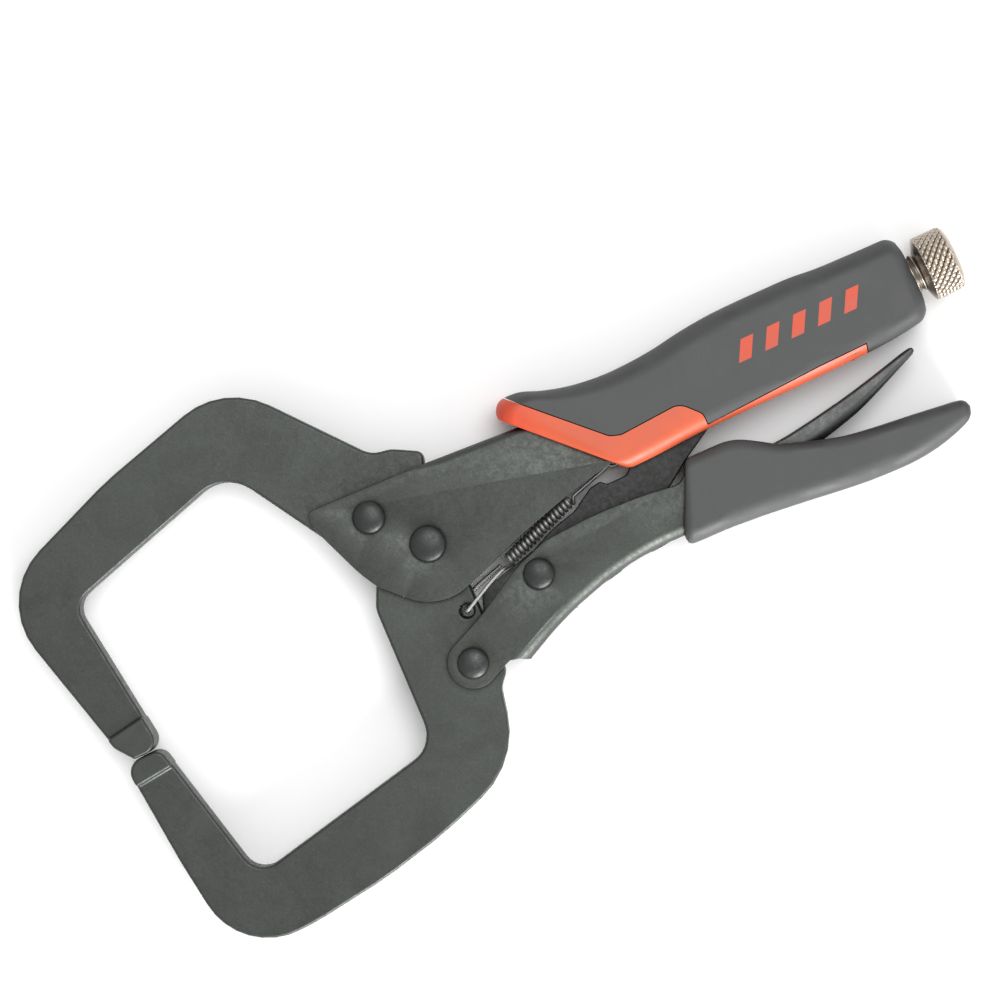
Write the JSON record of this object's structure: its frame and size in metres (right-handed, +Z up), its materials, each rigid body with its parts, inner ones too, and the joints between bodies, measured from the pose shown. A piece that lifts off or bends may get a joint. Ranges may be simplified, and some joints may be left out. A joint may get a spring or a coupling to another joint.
{
  "type": "locking pliers",
  "caption": "Locking C-clamp pliers with wide forged C jaws, a toggle link, an adjusting screw with a knurled knob, and soft grips; lies flat on its side.",
  "frame": {"origin": "middle of the tool's footprint, on the surface it lies on", "axes": "+X along the tool from the jaw tips towards the adjusting knob, +Y in the plane of the jaws from the lever side towards the fixed handle's side, +Z up, out of the upper side face"},
  "size_m": [0.2804, 0.145, 0.0192],
  "materials": {
    "forged_steel": "dark phosphate finish, finely textured",
    "sheet_steel": "dark grey plated sheet, finely textured",
    "rivet_steel": "dark grey, satin",
    "plated_steel": "dull nickel plate with dirt in the knurl",
    "spring_steel": "bright drawn wire",
    "orange_plastic": "matt moulded orange plastic",
    "dark_rubber": "matt dark grey soft grip"
  },
  "bodies": {
    "handle": {"fixed_jaw": "forged_steel", "handle_channel": "sheet_steel", "front_jaw_rivet": "rivet_steel", "main_pivot_rivet": "rivet_steel", "spring_anchor_pin": "rivet_steel", "grip_core": "orange_plastic", "grip_cover": "dark_rubber", "grip_badge": "orange_plastic", "tension_spring": "spring_steel"},
    "jaw": {"movable_jaw": "forged_steel"},
    "lever": {"lever_channel": "sheet_steel", "lever_pivot_rivet": "rivet_steel", "link_rivet": "rivet_steel", "release_pin": "rivet_steel", "lower_grip": "dark_rubber"},
    "link": {"toggle_link": "forged_steel"},
    "release": {"release_lever": "sheet_steel"},
    "screw": {"adjusting_screw": "plated_steel"},
    "knob": {"screw_knob": "plated_steel"}
  },
  "joints": [
    {"name": "jaw_open", "type": "hinge", "parent": "handle", "child": "jaw", "pos_m": [-0.02673, 0.01042, 0.0096], "axis": [0, 0, 1], "range_deg": [0, 18], "deforming": ["tension_spring"]},
    {"name": "lever_swing", "type": "hinge", "parent": "jaw", "child": "lever", "pos_m": [-0.02933, -0.02498, 0.0096], "axis": [0, 0, 1], "range_deg": [-56.4, 0]},
    {"name": "link_swing", "type": "hinge", "parent": "lever", "child": "link", "pos_m": [-0.00223, -0.01008, 0.0096], "axis": [0, 0, 1], "range_deg": [0, 58.5]},
    {"name": "release_press", "type": "hinge", "parent": "lever", "child": "release", "pos_m": [0.06127, -0.00758, 0.0096], "axis": [0, 0, 1], "range_deg": [-13, 0]},
    {"name": "screw_turn", "type": "hinge", "parent": "screw", "child": "knob", "pos_m": [0.13327, 0.02132, 0.0096], "axis": [1, 0, 0], "range_deg": [0, 4114.79]},
    {"name": "screw_advance", "type": "slide", "parent": "handle", "child": "screw", "axis": [1, 0, 0], "range_m": [0, 0.02]}
  ],
  "couplings": [
    {"joint": "lever_swing", "follows": "jaw_open", "ratio": -3.128},
    {"joint": "link_swing", "follows": "jaw_open", "ratio": 3.244},
    {"joint": "screw_turn", "follows": "screw_advance", "rad_per_m": 3590.4}
  ]
}
